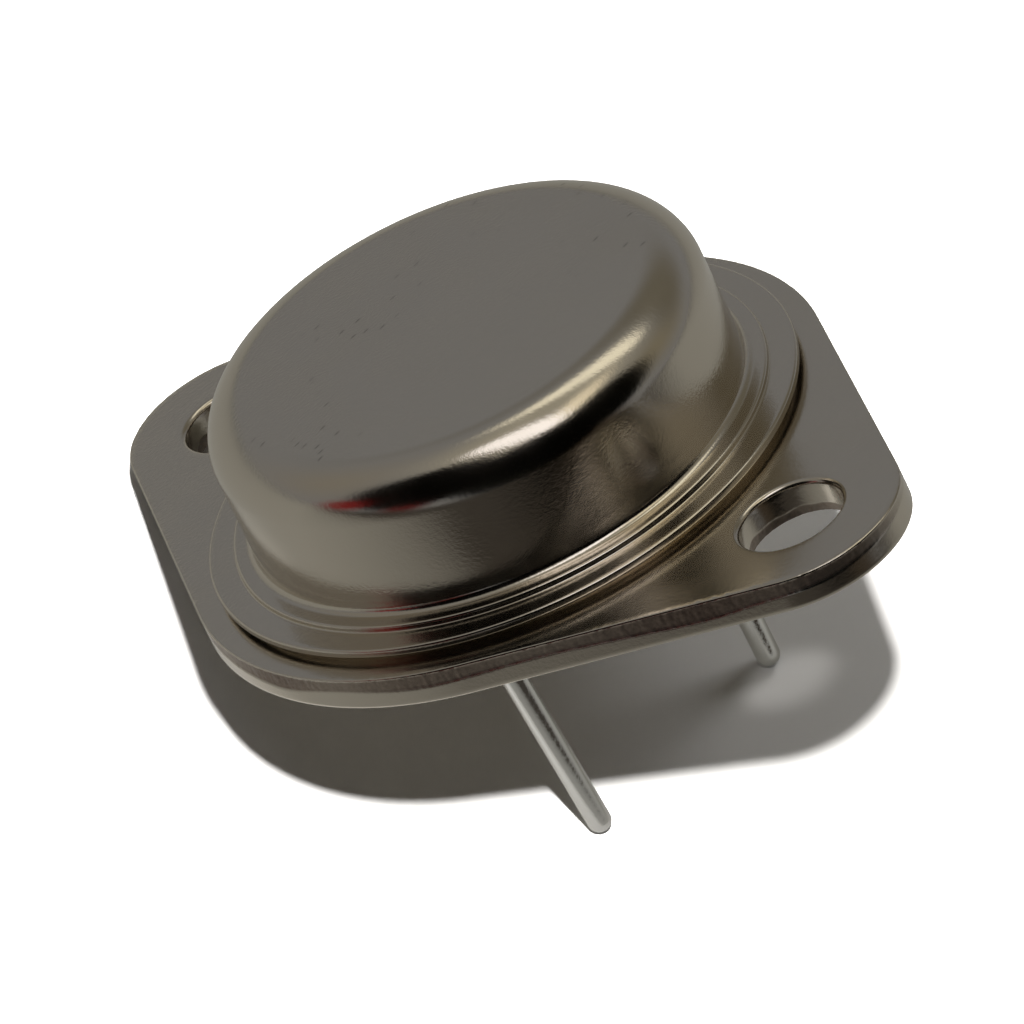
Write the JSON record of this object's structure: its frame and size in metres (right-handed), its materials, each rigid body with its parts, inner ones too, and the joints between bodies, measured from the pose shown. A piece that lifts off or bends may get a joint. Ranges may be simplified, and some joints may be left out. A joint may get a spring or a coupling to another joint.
{
  "type": "power transistor",
  "caption": "Power transistor in a sealed metal can on a diamond-shaped mounting flange, with rigid leads through glass seals underneath.",
  "frame": {"origin": "on the seating plane, the flange's underside, midway between the two mounting holes", "axes": "+Z out of the seating plane through the can, with the leads along -Z; X through both mounting holes, with the leads on its + side; Y across the flange"},
  "size_m": [0.0388, 0.0256, 0.0203],
  "materials": {
    "nickel_flange": "satin nickel plate over stamped steel, torn and burnished cut edge",
    "nickel_cap": "satin nickel plate over drawn steel, very fine orange-peel",
    "lead_plate": "bright tinned lead wire",
    "seal_glass": "dark fused glass, glossy meniscus",
    "copper": "dull copper",
    "braze": "silver braze",
    "silicon": "polished silicon with aluminium pads",
    "solder": "soft solder",
    "bond_wire": "drawn aluminium wire"
  },
  "bodies": {
    "root": {"header_flange": "nickel_flange", "cap": "nickel_cap", "base_pin": "lead_plate", "emitter_pin": "lead_plate", "base_seal": "seal_glass", "emitter_seal": "seal_glass", "heat_spreader": "copper", "spreader_braze": "braze", "silicon_die": "silicon", "die_solder": "solder", "base_wire": "bond_wire", "emitter_wire": "bond_wire"}
  },
  "joints": []
}
